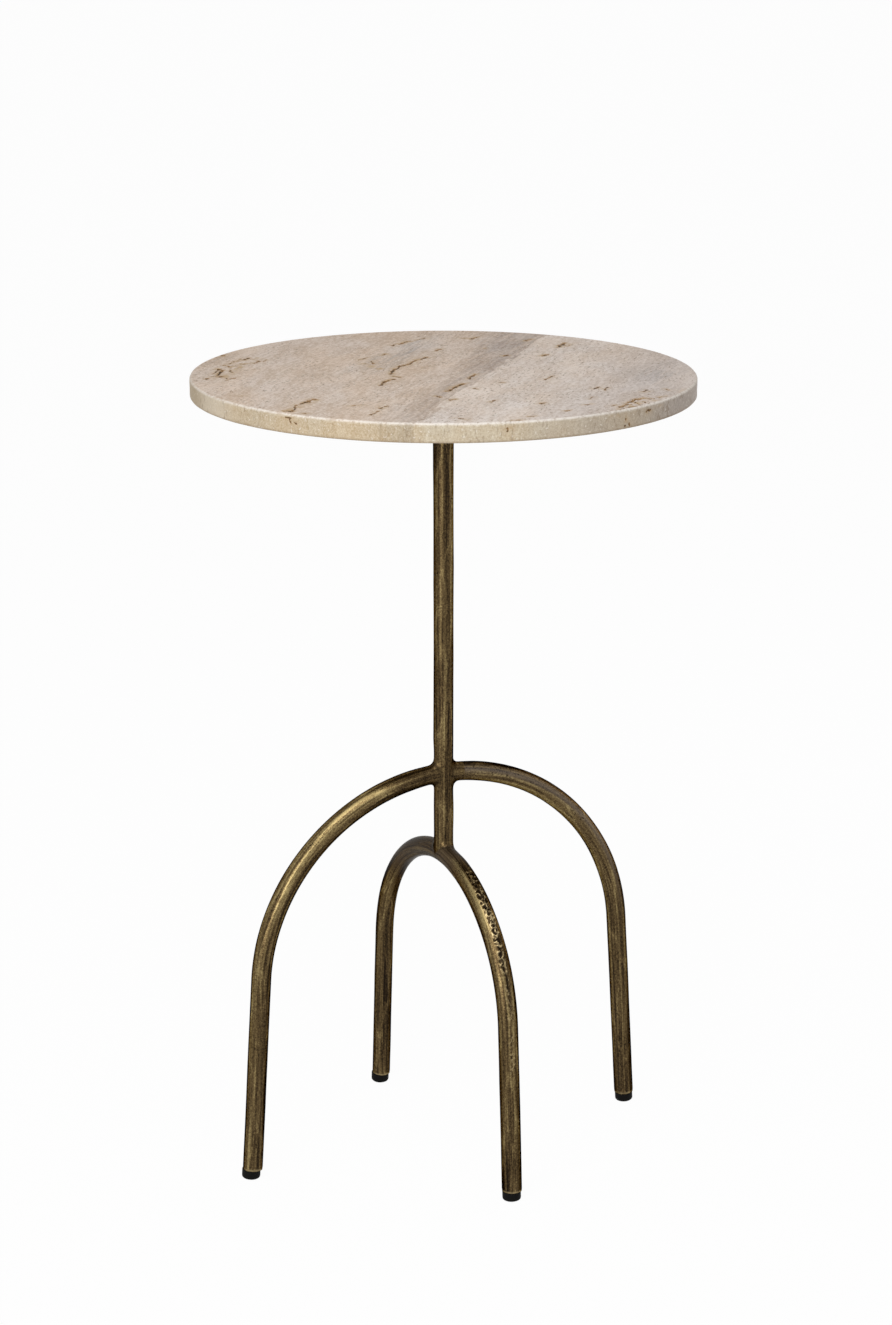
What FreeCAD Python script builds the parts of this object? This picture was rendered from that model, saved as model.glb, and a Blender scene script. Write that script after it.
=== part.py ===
"""Wine table: a round stone top on a tube post, which stands on two crossed arches of the same tube.

Millimetres, +Z up. The origin is on the floor, under the middle of the post.
The upper arch lies in the XZ plane and the lower arch in the YZ plane.
"""

import FreeCAD, Part
import math
import os

import Sketcher

# Driving dimensions: alias, value in millimetres or degrees, what it measures
SIZES = [
    ("table_height", 660.0, "floor to the upper face of the stone"),
    ("top_diameter", 400.0, "stone top, across"),
    ("top_thickness", 15.0, "stone top, slab"),
    ("top_edge_round", 2.0, "easing of the stone's upper edge"),
    ("under_edge_round", 1.0, "easing of the stone's lower edge"),
    ("tube_diameter", 16.0, "post and arches, outside"),
    ("tube_wall", 2.0, "post and arches, wall"),
    ("upper_crown_height", 327.5, "floor to the tube's middle at the upper crown"),
    ("upper_bend_radius", 165.0, "upper arch, to the tube's middle"),
    ("lower_crown_height", 257.5, "floor to the tube's middle at the lower crown"),
    ("lower_bend_radius", 120.0, "lower arch, to the tube's middle"),
    ("leg_splay", 3.7, "lean of the straight legs, in degrees"),
    ("cope_trim", 2.0, "feather tips cut off a coped tube end"),
    ("upper_weld_radius", 5.0, "hollow where an upper leg meets the post"),
    ("lower_weld_radius", 4.0, "hollow where the post meets the lower arch"),
    ("weld_root_depth", 0.4, "how far a weld's hollow starts under the arch's skin"),
    ("plate_diameter", 140.0, "mounting plate, across"),
    ("plate_thickness", 4.0, "mounting plate"),
    ("plate_edge_chamfer", 1.0, "chamfer of the plate's lower edge"),
    ("plate_weld_radius", 5.0, "hollow where the post meets the plate"),
    ("gasket_inset", 4.0, "rim of the plate to rim of the soft disc on it"),
    ("gasket_thickness", 1.0, "soft disc between plate and stone"),
    ("screw_inset", 15.0, "rim of the plate to a screw's axis"),
    ("screw_diameter", 5.0, "screw shank, outside the thread"),
    ("screw_tip_gap", 2.0, "end of an insert to the screw's tip in it"),
    ("screw_tip_chamfer", 0.6, "lead-in at the screw's tip"),
    ("screw_head_diameter", 9.5, "button head, across"),
    ("screw_head_height", 2.8, "button head"),
    ("screw_head_rim", 0.9, "upright rim of the button head"),
    ("screw_head_crown", 5.5, "flat crown of the button head, across"),
    ("socket_width", 3.0, "hexagon socket, across flats"),
    ("socket_depth", 1.6, "hexagon socket"),
    ("screw_clearance", 0.25, "gap around a shank in plate, gasket and washer"),
    ("thread_clearance", 0.05, "gap between shank and insert"),
    ("washer_diameter", 12.0, "washer, across"),
    ("washer_thickness", 1.0, "washer"),
    ("insert_diameter", 9.0, "threaded insert, outside"),
    ("insert_length", 10.0, "threaded insert"),
    ("insert_clearance", 0.1, "bond line around an insert"),
    ("foot_head_inset", 0.4, "skin of the tube to the side of the glide head"),
    ("foot_head_height", 8.0, "glide head, floor to tube end"),
    ("foot_edge_round", 2.2, "rounding of the glide's lower edge"),
    ("foot_fin_depth", 1.4, "fin's rim to the glide's stem"),
    ("foot_fin_pitch", 5.0, "fin to fin"),
    ("foot_fin_thickness", 1.6, "fin at its rim, and its taper"),
    ("foot_clearance", 0.1, "gap between fin and tube bore"),
]
SCREW_COUNT = 4
FIN_COUNT = 3

# Places and sizes that follow from the driving dimensions
STONE_UNDERSIDE = "(Sizes.table_height - Sizes.top_thickness)"
PLATE_TOP = f"({STONE_UNDERSIDE} - Sizes.gasket_thickness)"
PLATE_UNDERSIDE = f"({PLATE_TOP} - Sizes.plate_thickness)"
HEAD_SEAT = f"({PLATE_UNDERSIDE} - Sizes.washer_thickness)"
HEAD_CROWN = f"({HEAD_SEAT} - Sizes.screw_head_height)"
TUBE_RADIUS = "(Sizes.tube_diameter / 2)"
BORE_RADIUS = f"({TUBE_RADIUS} - Sizes.tube_wall)"
SCREW_HOLE_RADIUS = "(Sizes.screw_diameter / 2 + Sizes.screw_clearance)"
SCREW_OFFSET = "(Sizes.plate_diameter / 2 - Sizes.screw_inset)"
HEAD_RADIUS = f"({TUBE_RADIUS} - Sizes.foot_head_inset)"
FIN_RADIUS = f"({BORE_RADIUS} - Sizes.foot_clearance)"
SPLAY = "Sizes.leg_splay * 1 deg"
LEG_END_HEIGHT = f"(Sizes.foot_head_height * cos({SPLAY}))"

# How sketch geometry is referred to: the origin point, the two axes and the places on an element
ORIGIN = (-1, 1)
X_AXIS, Y_AXIS = range(-1, -3, -1)
START, END, MIDDLE = range(1, 4)
UP = FreeCAD.Vector(0, 0, 1)


def crown_height(arch):
    return f"Sizes.{arch}_crown_height"


def bend_radius(arch):
    return f"Sizes.{arch}_bend_radius"


def bend_height(arch):
    """Height of the middle of an arch's bend."""
    return f"({crown_height(arch)} - {bend_radius(arch)})"


def foot_offset(arch):
    """How far from the post's axis a straight leg of this arch meets the floor."""
    drop = f"({bend_height(arch)} + {bend_radius(arch)} * sin({SPLAY}))"
    return f"({bend_radius(arch)} * cos({SPLAY}) + {drop} * tan({SPLAY}))"


def stone_underside(size):
    return size["table_height"] - size["top_thickness"]


def plate_underside(size):
    return stone_underside(size) - size["gasket_thickness"] - size["plate_thickness"]


# Sketches


def make_sheet(doc):
    sheet = doc.addObject("Spreadsheet::Sheet", "Sizes")
    for row, (alias, value, note) in enumerate(SIZES, start=1):
        sheet.set(f"A{row}", note)
        sheet.set(f"B{row}", str(value))
        sheet.setAlias(f"B{row}", alias)
    doc.recompute()


def new_body(doc, label, several=False):
    body = doc.addObject("PartDesign::Body", label)
    body.Label = label
    body.AllowCompound = several
    return body


def origin_part(body, role):
    return next(part for part in body.Origin.OriginFeatures if part.Role == role)


def new_sketch(body, name, role, x=None, z=None):
    """Sketch on an origin plane of its body, moved by x in that plane and by z along its normal."""
    sketch = body.newObject("Sketcher::SketchObject", f"{body.Name}_{name}")
    sketch.AttachmentSupport = [(origin_part(body, role), "")]
    sketch.MapMode = "FlatFace"
    if x:
        sketch.setExpression("AttachmentOffset.Base.x", x)
    if z:
        sketch.setExpression("AttachmentOffset.Base.z", z)
    return sketch


def bind(sketch, name, expression, kind, *where):
    """Adds a dimension to the sketch and ties it to an expression on the sheet."""
    index = sketch.addConstraint(Sketcher.Constraint(kind, *where))
    sketch.renameConstraint(index, name)
    sketch.setExpression(f"Constraints.{name}", expression)


def draw_circle(sketch, name, radius, height=None):
    """Circle about the sketch's origin, or about a point on its vertical axis."""
    middle = FreeCAD.Vector(0, 1 if height else 0, 0)
    circle = sketch.addGeometry(Part.Circle(middle, UP, 1.0))
    if height:
        sketch.addConstraint(Sketcher.Constraint("PointOnObject", circle, MIDDLE, Y_AXIS))
        bind(sketch, name + "_height", height, "DistanceY", *ORIGIN, circle, MIDDLE, 1.0)
    else:
        sketch.addConstraint(Sketcher.Constraint("Coincident", circle, MIDDLE, *ORIGIN))
    bind(sketch, name + "_radius", radius, "Radius", circle, 1.0)


def draw_outline(sketch, corners):
    """Closed outline of straight lines through corners (name, x, y), where None puts one on an axis.

    The lines start as an even polygon, which the dimensions then pull into place.
    """
    turns = [2 * math.pi * n / len(corners) for n in range(len(corners))]
    first = [FreeCAD.Vector(2 + math.cos(a), 2 + math.sin(a), 0) for a in turns]
    lines = []
    for n, corner in enumerate(first):
        lines.append(sketch.addGeometry(Part.LineSegment(corner, first[(n + 1) % len(first)])))
    for n, line in enumerate(lines):
        sketch.addConstraint(Sketcher.Constraint("Coincident", lines[n - 1], END, line, START))
    for line, corner, (name, x, y) in zip(lines, first, corners):
        if x is None:
            sketch.addConstraint(Sketcher.Constraint("PointOnObject", line, START, Y_AXIS))
        else:
            bind(sketch, name + "_x", x, "DistanceX", *ORIGIN, line, START, corner.x)
        if y is None:
            sketch.addConstraint(Sketcher.Constraint("PointOnObject", line, START, X_AXIS))
        else:
            bind(sketch, name + "_y", y, "DistanceY", *ORIGIN, line, START, corner.y)


def draw_tube_section(sketch, height=None):
    draw_circle(sketch, "outside", TUBE_RADIUS, height)
    draw_circle(sketch, "bore", BORE_RADIUS, height)


def draw_crown_ring(sketch, arch, radius):
    """Round section at an arch's crown, and the level line through its bend's middle to turn it about."""
    draw_circle(sketch, "crown", radius, crown_height(arch))
    line = Part.LineSegment(FreeCAD.Vector(-1, 1, 0), FreeCAD.Vector(1, 1, 0))
    axis = sketch.addGeometry(line, True)
    sketch.addConstraint(Sketcher.Constraint("Symmetric", axis, START, axis, END, Y_AXIS))
    bind(sketch, "axis_half", TUBE_RADIUS, "DistanceX", *ORIGIN, axis, END, 1.0)
    bind(sketch, "axis_height", bend_height(arch), "DistanceY", *ORIGIN, axis, END, 1.0)


def draw_leg_path(sketch, arch, size):
    """Bend from the crown, on the sketch's vertical axis, then a straight leg to the tube's end."""
    radius = size[f"{arch}_bend_radius"]
    height = size[f"{arch}_crown_height"] - radius
    splay = math.radians(size["leg_splay"])
    end_height = size["foot_head_height"] * math.cos(splay)
    bend_end = FreeCAD.Vector(radius * math.cos(splay), height + radius * math.sin(splay), 0)
    leg_run = (bend_end.y - end_height) * math.tan(splay)
    leg_end = FreeCAD.Vector(bend_end.x + leg_run, end_height, 0)
    circle = Part.Circle(FreeCAD.Vector(0, height, 0), UP, radius)
    bend = sketch.addGeometry(Part.ArcOfCircle(circle, splay, math.pi / 2))
    leg = sketch.addGeometry(Part.LineSegment(bend_end, leg_end))
    sketch.addConstraint(Sketcher.Constraint("PointOnObject", bend, MIDDLE, Y_AXIS))
    sketch.addConstraint(Sketcher.Constraint("PointOnObject", bend, END, Y_AXIS))
    sketch.addConstraint(Sketcher.Constraint("Tangent", bend, START, leg, START))
    bind(sketch, "bend_radius", bend_radius(arch), "Radius", bend, radius)
    bind(sketch, "bend_height", bend_height(arch), "DistanceY", *ORIGIN, bend, MIDDLE, height)
    bind(sketch, "leg_end", LEG_END_HEIGHT, "DistanceY", *ORIGIN, leg, END, end_height)
    bind(sketch, "splay", f"{SPLAY} - 90 deg", "Angle", leg, splay - math.pi / 2)


# Features


def pad(body, sketch, length):
    feature = body.newObject("PartDesign::Pad", sketch.Name + "_pad")
    feature.Profile = sketch
    feature.setExpression("Length", length)
    return feature


def pocket(body, sketch, length=None, upward=False):
    """Cut by a length to one side of the sketch's plane, or through everything on both sides."""
    feature = body.newObject("PartDesign::Pocket", sketch.Name + "_pocket")
    feature.Profile = sketch
    feature.Reversed = upward
    if length:
        feature.setExpression("Length", length)
    else:
        feature.Type = "ThroughAll"
        feature.SideType = "Symmetric"
    return feature


def turn(body, sketch, kind, axis, angle=360.0):
    """Revolution or Groove of a sketch about one of its own axes."""
    feature = body.newObject(f"PartDesign::{kind}", f"{sketch.Name}_{kind.lower()}")
    feature.Profile = sketch
    feature.ReferenceAxis = (sketch, [axis])
    feature.Angle = angle
    return feature


def sweep(body, section, path):
    feature = body.newObject("PartDesign::AdditivePipe", section.Name + "_sweep")
    feature.Profile = section
    feature.Spine = (path, ["Edge1", "Edge2"])
    return feature


def ring_of(body, *features):
    """Repeats features evenly about the post's axis, once for each screw."""
    pattern = body.newObject("PartDesign::PolarPattern", f"{features[0].Name}_ring")
    pattern.Originals = list(features)
    pattern.Axis = (origin_part(body, "Z_Axis"), [""])
    pattern.Angle = 360.0
    pattern.Occurrences = SCREW_COUNT
    body.Tip = pattern


def dress(doc, body, kind, base, chosen, name, value):
    """Fillet or Chamfer on the edges of the base feature that the function chosen picks."""
    doc.recompute()
    shape = base.Shape
    edges = [f"Edge{n}" for n, edge in enumerate(shape.Edges, start=1) if chosen(shape, edge)]
    feature = body.newObject(f"PartDesign::{kind}", f"{base.Name}_{kind.lower()}")
    feature.Base = (base, edges)
    feature.setExpression(name, value)
    return feature


def level_edge(height, tolerance=1e-6):
    """Picks the edges that lie flat at a height."""
    def chosen(shape, edge):
        box = edge.BoundBox
        return abs(box.ZMin - height) < tolerance and abs(box.ZMax - height) < tolerance
    return chosen


def joint_edge(shape, edge):
    """Picks the edges where the straight round of the post meets the bent round of an arch."""
    faces = shape.ancestorsOfType(edge, Part.Face)
    return {type(face.Surface).__name__ for face in faces} == {"Cylinder", "Toroid"}


def screw_holes(body, z, depth, radius):
    """Round holes on the screw circle, upward from a height."""
    sketch = new_sketch(body, "hole", "XY_Plane", x=SCREW_OFFSET, z=z)
    draw_circle(sketch, "hole", radius)
    ring_of(body, pocket(body, sketch, depth, upward=True))


# The top and what fastens it


def make_stone_top(doc, size):
    body = new_body(doc, "stone_top")
    sketch = new_sketch(body, "outline", "XY_Plane", z=STONE_UNDERSIDE)
    draw_circle(sketch, "rim", "Sizes.top_diameter / 2")
    slab = pad(body, sketch, "Sizes.top_thickness")
    upper, lower = level_edge(size["table_height"]), level_edge(stone_underside(size))
    eased = dress(doc, body, "Fillet", slab, upper, "Radius", "Sizes.top_edge_round")
    dress(doc, body, "Fillet", eased, lower, "Radius", "Sizes.under_edge_round")
    hole_radius = "Sizes.insert_diameter / 2 + Sizes.insert_clearance"
    hole_depth = "Sizes.insert_length + Sizes.insert_clearance"
    screw_holes(body, STONE_UNDERSIDE, hole_depth, hole_radius)
    return body


def make_stone_inserts(doc):
    body = new_body(doc, "stone_inserts", several=True)
    sketch = new_sketch(body, "section", "XY_Plane", x=SCREW_OFFSET, z=STONE_UNDERSIDE)
    draw_circle(sketch, "outside", "Sizes.insert_diameter / 2")
    draw_circle(sketch, "thread", "Sizes.screw_diameter / 2 + Sizes.thread_clearance")
    ring_of(body, pad(body, sketch, "Sizes.insert_length"))
    return body


def make_top_gasket(doc):
    body = new_body(doc, "top_gasket")
    sketch = new_sketch(body, "outline", "XY_Plane", z=PLATE_TOP)
    draw_circle(sketch, "rim", "Sizes.plate_diameter / 2 - Sizes.gasket_inset")
    pad(body, sketch, "Sizes.gasket_thickness")
    screw_holes(body, PLATE_TOP, "Sizes.gasket_thickness", SCREW_HOLE_RADIUS)
    return body


def make_mounting_plate(doc, size):
    body = new_body(doc, "mounting_plate")
    sketch = new_sketch(body, "outline", "XY_Plane", z=PLATE_UNDERSIDE)
    draw_circle(sketch, "rim", "Sizes.plate_diameter / 2")
    disc = pad(body, sketch, "Sizes.plate_thickness")
    lower = level_edge(plate_underside(size))
    dress(doc, body, "Chamfer", disc, lower, "Size", "Sizes.plate_edge_chamfer")
    screw_holes(body, PLATE_UNDERSIDE, "Sizes.plate_thickness", SCREW_HOLE_RADIUS)
    return body


def make_screw_washers(doc):
    body = new_body(doc, "screw_washers", several=True)
    sketch = new_sketch(body, "section", "XY_Plane", x=SCREW_OFFSET, z=HEAD_SEAT)
    draw_circle(sketch, "outside", "Sizes.washer_diameter / 2")
    draw_circle(sketch, "hole", SCREW_HOLE_RADIUS)
    ring_of(body, pad(body, sketch, "Sizes.washer_thickness"))
    return body


def make_plate_screws(doc):
    """Button-head screws, heads down, with a hexagon socket."""
    body = new_body(doc, "plate_screws", several=True)
    tip = f"({STONE_UNDERSIDE} + Sizes.insert_length - Sizes.screw_tip_gap)"
    shank = "(Sizes.screw_diameter / 2)"
    head = "Sizes.screw_head_diameter / 2"
    profile = new_sketch(body, "profile", "XZ_Plane", x=SCREW_OFFSET)
    draw_outline(profile, [
        ("crown", None, HEAD_CROWN),
        ("crown_edge", "Sizes.screw_head_crown / 2", HEAD_CROWN),
        ("rim_edge", head, f"{HEAD_SEAT} - Sizes.screw_head_rim"),
        ("seat_edge", head, HEAD_SEAT),
        ("shank_root", shank, HEAD_SEAT),
        ("shank_end", shank, f"{tip} - Sizes.screw_tip_chamfer"),
        ("tip_edge", f"{shank} - Sizes.screw_tip_chamfer", tip),
        ("tip", None, tip),
    ])
    screw = turn(body, profile, "Revolution", "V_Axis")
    hexagon = new_sketch(body, "socket", "XY_Plane", x=SCREW_OFFSET, z=HEAD_CROWN)
    flat = "Sizes.socket_width / 2"
    corner = "Sizes.socket_width / sqrt(3)"
    draw_outline(hexagon, [
        ("east", corner, None),
        ("north_east", f"{corner} / 2", flat),
        ("north_west", f"-{corner} / 2", flat),
        ("west", f"-{corner}", None),
        ("south_west", f"-{corner} / 2", f"-{flat}"),
        ("south_east", f"{corner} / 2", f"-{flat}"),
    ])
    socket = pocket(body, hexagon, "Sizes.socket_depth", upward=True)
    ring_of(body, screw, socket)
    return body


# The tube frame


def make_upper_leg(doc, size, label, heading):
    """Half of the upper arch: a bent tube, coped to the side of the post, with its feather tips cut off."""
    body = new_body(doc, label)
    path = new_sketch(body, "path", "XZ_Plane")
    draw_leg_path(path, "upper", size)
    section = new_sketch(body, "section", "YZ_Plane")
    draw_tube_section(section, crown_height("upper"))
    sweep(body, section, path)
    cope = new_sketch(body, "cope", "XY_Plane", z=crown_height("upper"))
    draw_circle(cope, "post", TUBE_RADIUS)
    pocket(body, cope)
    tips = new_sketch(body, "tips", "XY_Plane", z=crown_height("upper"))
    draw_outline(tips, [
        ("south_west", "-Sizes.cope_trim", "-Sizes.tube_diameter"),
        ("south_east", "Sizes.cope_trim", "-Sizes.tube_diameter"),
        ("north_east", "Sizes.cope_trim", "Sizes.tube_diameter"),
        ("north_west", "-Sizes.cope_trim", "Sizes.tube_diameter"),
    ])
    pocket(body, tips)
    body.Placement = FreeCAD.Placement(FreeCAD.Vector(), FreeCAD.Rotation(UP, heading))
    return body


def make_lower_arch(doc, size):
    """One tube bent over the middle: one leg is swept from the crown and mirrored."""
    body = new_body(doc, "lower_arch")
    path = new_sketch(body, "path", "YZ_Plane")
    draw_leg_path(path, "lower", size)
    section = new_sketch(body, "section", "XZ_Plane")
    draw_tube_section(section, crown_height("lower"))
    half = sweep(body, section, path)
    mirror = body.newObject("PartDesign::Mirrored", "lower_arch_mirror")
    mirror.Originals = [half]
    mirror.MirrorPlane = (origin_part(body, "XZ_Plane"), [""])
    body.Tip = mirror
    return body


def make_post(doc):
    """Straight tube from the lower crown to the mounting plate, coped to sit on the crown."""
    body = new_body(doc, "post")
    foot = f"({crown_height('lower')} + Sizes.cope_trim)"
    section = new_sketch(body, "section", "XY_Plane", z=foot)
    draw_tube_section(section)
    pad(body, section, f"{PLATE_UNDERSIDE} - {foot}")
    cope = new_sketch(body, "cope", "XZ_Plane")
    draw_crown_ring(cope, "lower", TUBE_RADIUS)
    turn(body, cope, "Groove", "Axis0")
    return body


def make_foot(doc, size, label, heading, x=None, y=None):
    """Push-in glide: a head flat on the floor under the tube's end, and a finned stem up the tube's bore."""
    body = new_body(doc, label)
    stem = f"({FIN_RADIUS} - Sizes.foot_fin_depth)"
    corners = [
        ("bottom", None, f"-{HEAD_RADIUS}"),
        ("bottom_edge", HEAD_RADIUS, f"-{HEAD_RADIUS}"),
        ("shoulder_edge", HEAD_RADIUS, "Sizes.foot_head_height"),
        ("stem_root", stem, "Sizes.foot_head_height"),
    ]
    for n in range(1, FIN_COUNT + 1):
        over = f"Sizes.foot_head_height + {n} * Sizes.foot_fin_pitch"
        corners += [
            (f"fin{n}_root", stem, f"{over} - 2 * Sizes.foot_fin_thickness"),
            (f"fin{n}_low", FIN_RADIUS, f"{over} - 2 * Sizes.foot_fin_thickness"),
            (f"fin{n}_high", FIN_RADIUS, f"{over} - Sizes.foot_fin_thickness"),
            (f"fin{n}_over", stem, over),
        ]
    corners.append(("stem_top", None, over))
    profile = new_sketch(body, "profile", "XZ_Plane")
    lean = FreeCAD.Rotation(UP, size["leg_splay"])
    profile.AttachmentOffset = FreeCAD.Placement(FreeCAD.Vector(), lean)
    profile.setExpression("AttachmentOffset.Rotation.Angle", SPLAY)
    draw_outline(profile, corners)
    turn(body, profile, "Revolution", "V_Axis")
    floor = new_sketch(body, "floor", "XY_Plane")
    draw_circle(floor, "below", "Sizes.tube_diameter")
    flat = pocket(body, floor, "2 * Sizes.tube_diameter")
    dress(doc, body, "Fillet", flat, level_edge(0.0), "Radius", "Sizes.foot_edge_round")
    body.Placement = FreeCAD.Placement(FreeCAD.Vector(), FreeCAD.Rotation(UP, heading))
    if x:
        body.setExpression("Placement.Base.x", x)
    if y:
        body.setExpression("Placement.Base.y", y)
    return body


# Welds


def make_plate_weld(doc, size):
    """Ring with a hollow face between the post and the underside of the plate."""
    body = new_body(doc, "plate_weld")
    sketch = new_sketch(body, "section", "XZ_Plane")
    radius = size["plate_weld_radius"]
    inner, top = size["tube_diameter"] / 2, plate_underside(size)
    root = FreeCAD.Vector(inner, top - radius, 0)
    corner = FreeCAD.Vector(inner, top, 0)
    toe = FreeCAD.Vector(inner + radius, top, 0)
    middle = FreeCAD.Vector(inner + radius, top - radius, 0)
    wall = sketch.addGeometry(Part.LineSegment(root, corner))
    roof = sketch.addGeometry(Part.LineSegment(corner, toe))
    hollow = sketch.addGeometry(Part.ArcOfCircle(Part.Circle(middle, UP, radius), math.pi / 2, math.pi))
    for line, after in ((wall, roof), (roof, hollow), (hollow, wall)):
        sketch.addConstraint(Sketcher.Constraint("Coincident", line, END, after, START))
    sketch.addConstraint(Sketcher.Constraint("Vertical", wall))
    sketch.addConstraint(Sketcher.Constraint("Horizontal", roof))
    sketch.addConstraint(Sketcher.Constraint("Vertical", hollow, MIDDLE, roof, END))
    sketch.addConstraint(Sketcher.Constraint("Horizontal", hollow, MIDDLE, wall, START))
    bind(sketch, "corner_x", TUBE_RADIUS, "DistanceX", *ORIGIN, wall, END, inner)
    bind(sketch, "corner_y", PLATE_UNDERSIDE, "DistanceY", *ORIGIN, wall, END, top)
    bind(sketch, "reach", "Sizes.plate_weld_radius", "DistanceX", roof, START, roof, END, radius)
    turn(body, sketch, "Revolution", "V_Axis")
    return body


def make_weld(doc, label, arch, plane, angle, heading=0.0):
    """Hollow weld between the post and an arch.

    A solid post and a solid, slightly thinner arch are rounded into each other, then the two tubes
    are cut away. What is left is the metal in the corner between them.
    """
    body = new_body(doc, label, several=True)
    hollow = f"Sizes.{arch}_weld_radius"
    reach = f"(Sizes.tube_diameter + 2 * {hollow})"
    under = reach if arch == "upper" else "0"
    post = new_sketch(body, "post_core", "XY_Plane", z=f"{crown_height(arch)} - {under}")
    draw_circle(post, "post", TUBE_RADIUS)
    pad(body, post, f"{reach} + {under}")
    core = new_sketch(body, "arch_core", plane)
    draw_crown_ring(core, arch, f"{TUBE_RADIUS} - Sizes.weld_root_depth")
    joined = turn(body, core, "Revolution", "Axis0", angle)
    dress(doc, body, "Fillet", joined, joint_edge, "Radius", hollow)
    post_cut = new_sketch(body, "post_cut", "XY_Plane", z=crown_height(arch))
    draw_circle(post_cut, "post", TUBE_RADIUS)
    pocket(body, post_cut)
    arch_cut = new_sketch(body, "arch_cut", plane)
    draw_crown_ring(arch_cut, arch, TUBE_RADIUS)
    turn(body, arch_cut, "Groove", "Axis0")
    body.Placement = FreeCAD.Placement(FreeCAD.Vector(), FreeCAD.Rotation(UP, heading))
    return body


def make_table(doc, size):
    """Every piece of the table, each in its own body."""
    upper, lower = foot_offset("upper"), foot_offset("lower")
    return [
        make_stone_top(doc, size),
        make_stone_inserts(doc),
        make_top_gasket(doc),
        make_mounting_plate(doc, size),
        make_plate_screws(doc),
        make_screw_washers(doc),
        make_post(doc),
        make_plate_weld(doc, size),
        make_upper_leg(doc, size, "upper_leg_right", 0.0),
        make_upper_leg(doc, size, "upper_leg_left", 180.0),
        make_weld(doc, "upper_weld_right", "upper", "YZ_Plane", 90.0),
        make_weld(doc, "upper_weld_left", "upper", "YZ_Plane", 90.0, heading=180.0),
        make_lower_arch(doc, size),
        make_weld(doc, "lower_weld", "lower", "XZ_Plane", 360.0),
        make_foot(doc, size, "foot_right", 0.0, x=upper),
        make_foot(doc, size, "foot_left", 180.0, x=f"-{upper}"),
        make_foot(doc, size, "foot_back", 90.0, y=lower),
        make_foot(doc, size, "foot_front", 270.0, y=f"-{lower}"),
    ]


def check(doc, bodies):
    """Stops if any object failed or any piece has no sound solid."""
    for thing in doc.Objects:
        faults = {"Invalid", "Error"}.intersection(thing.State)
        if faults:
            raise RuntimeError(f"{thing.Name} is {sorted(faults)}: {thing.getStatusString()}")
    for body in bodies:
        shape = body.Shape
        if shape.isNull() or not shape.isValid() or not shape.Solids:
            raise RuntimeError(f"{body.Label} has no sound solid")


def main():
    doc = FreeCAD.newDocument("wine_table")
    make_sheet(doc)
    size = {alias: value for alias, value, note in SIZES}
    bodies = make_table(doc, size)
    doc.recompute()
    check(doc, bodies)
    os.makedirs("parts", exist_ok=True)
    for body in bodies:
        body.Shape.exportStep(f"parts/{body.Label}.step")
        box = body.Shape.BoundBox
        low = ", ".join(f"{v:.2f}" for v in (box.XMin, box.YMin, box.ZMin))
        high = ", ".join(f"{v:.2f}" for v in (box.XMax, box.YMax, box.ZMax))
        solids = len(body.Shape.Solids)
        print(f"{body.Label}: {solids} solid(s), {body.Shape.Volume:.1f} mm3, ({low}) to ({high})")


main()
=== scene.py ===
"""Looks of a wine table: a round travertine top on a hammered, dark brass frame of bent tubes."""

import math

import bmesh
import bpy
from mathutils import Matrix, Vector, noise


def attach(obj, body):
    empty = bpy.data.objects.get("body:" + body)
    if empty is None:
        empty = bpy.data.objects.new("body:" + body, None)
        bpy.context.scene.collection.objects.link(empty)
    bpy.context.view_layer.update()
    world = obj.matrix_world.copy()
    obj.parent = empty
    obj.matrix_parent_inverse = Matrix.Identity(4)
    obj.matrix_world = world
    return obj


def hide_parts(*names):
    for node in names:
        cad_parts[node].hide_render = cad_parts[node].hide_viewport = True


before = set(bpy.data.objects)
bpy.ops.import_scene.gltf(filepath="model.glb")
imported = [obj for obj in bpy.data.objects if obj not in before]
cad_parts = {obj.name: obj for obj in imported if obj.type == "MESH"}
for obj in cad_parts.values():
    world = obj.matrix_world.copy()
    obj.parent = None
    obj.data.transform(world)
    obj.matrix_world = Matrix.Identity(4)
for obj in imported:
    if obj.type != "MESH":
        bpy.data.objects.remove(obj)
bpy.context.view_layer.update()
scene = bpy.context.scene

NOISE_SEED = 4
noise.seed_set(NOISE_SEED)

UP = Vector((0, 0, 1))
X_AXIS = Vector((1, 0, 0))
Y_AXIS = Vector((0, 1, 0))

# Sizes of the solids, in metres
TOP_HEIGHT = 0.660
TOP_RADIUS = 0.200
TOP_THICKNESS = 0.015
TOP_EDGE_ROUND = 0.002
UNDER_EDGE_ROUND = 0.001
FLAT_RADIUS = TOP_RADIUS - TOP_EDGE_ROUND
TUBE_RADIUS = 0.008
SPLAY = math.radians(3.7)
POST_TOP = 0.640
FOOT_HEIGHT = 0.0080
FOOT_RADIUS = 0.0076
FOOT_EDGE_ROUND = 0.0022
LEG_END = FOOT_HEIGHT * math.cos(SPLAY)

# The photograph and the camera that took it
PHOTO_WIDTH = 892
PHOTO_HEIGHT = 1325
FOCAL_PIXELS = 2866.6
SENSOR_MM = 36
CAMERA_PLACE = Vector((-0.96917, -2.01766, 1.07284))
CAMERA_YAW = 0.4487
CAMERA_PITCH = 0.2831
VIEW_ROTATION = (
    Matrix.Rotation(-CAMERA_YAW, 3, "Z") @ Matrix.Rotation(math.pi / 2 - CAMERA_PITCH, 3, "X")
)
PHOTO_RIGHT = Vector((math.cos(CAMERA_YAW), -math.sin(CAMERA_YAW), 0))


def rise(low, high, value):
    """0 below low, 1 above high and a smooth rise between them."""
    share = min(max((value - low) / (high - low), 0), 1)
    return share * share * (3 - 2 * share)


def plateau(start, full, fade, end, value):
    """0 outside start and end, 1 from full to fade, and smooth between."""
    return rise(start, full, value) * (1 - rise(fade, end, value))


def bell(value):
    return math.exp(-value * value)


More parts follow.
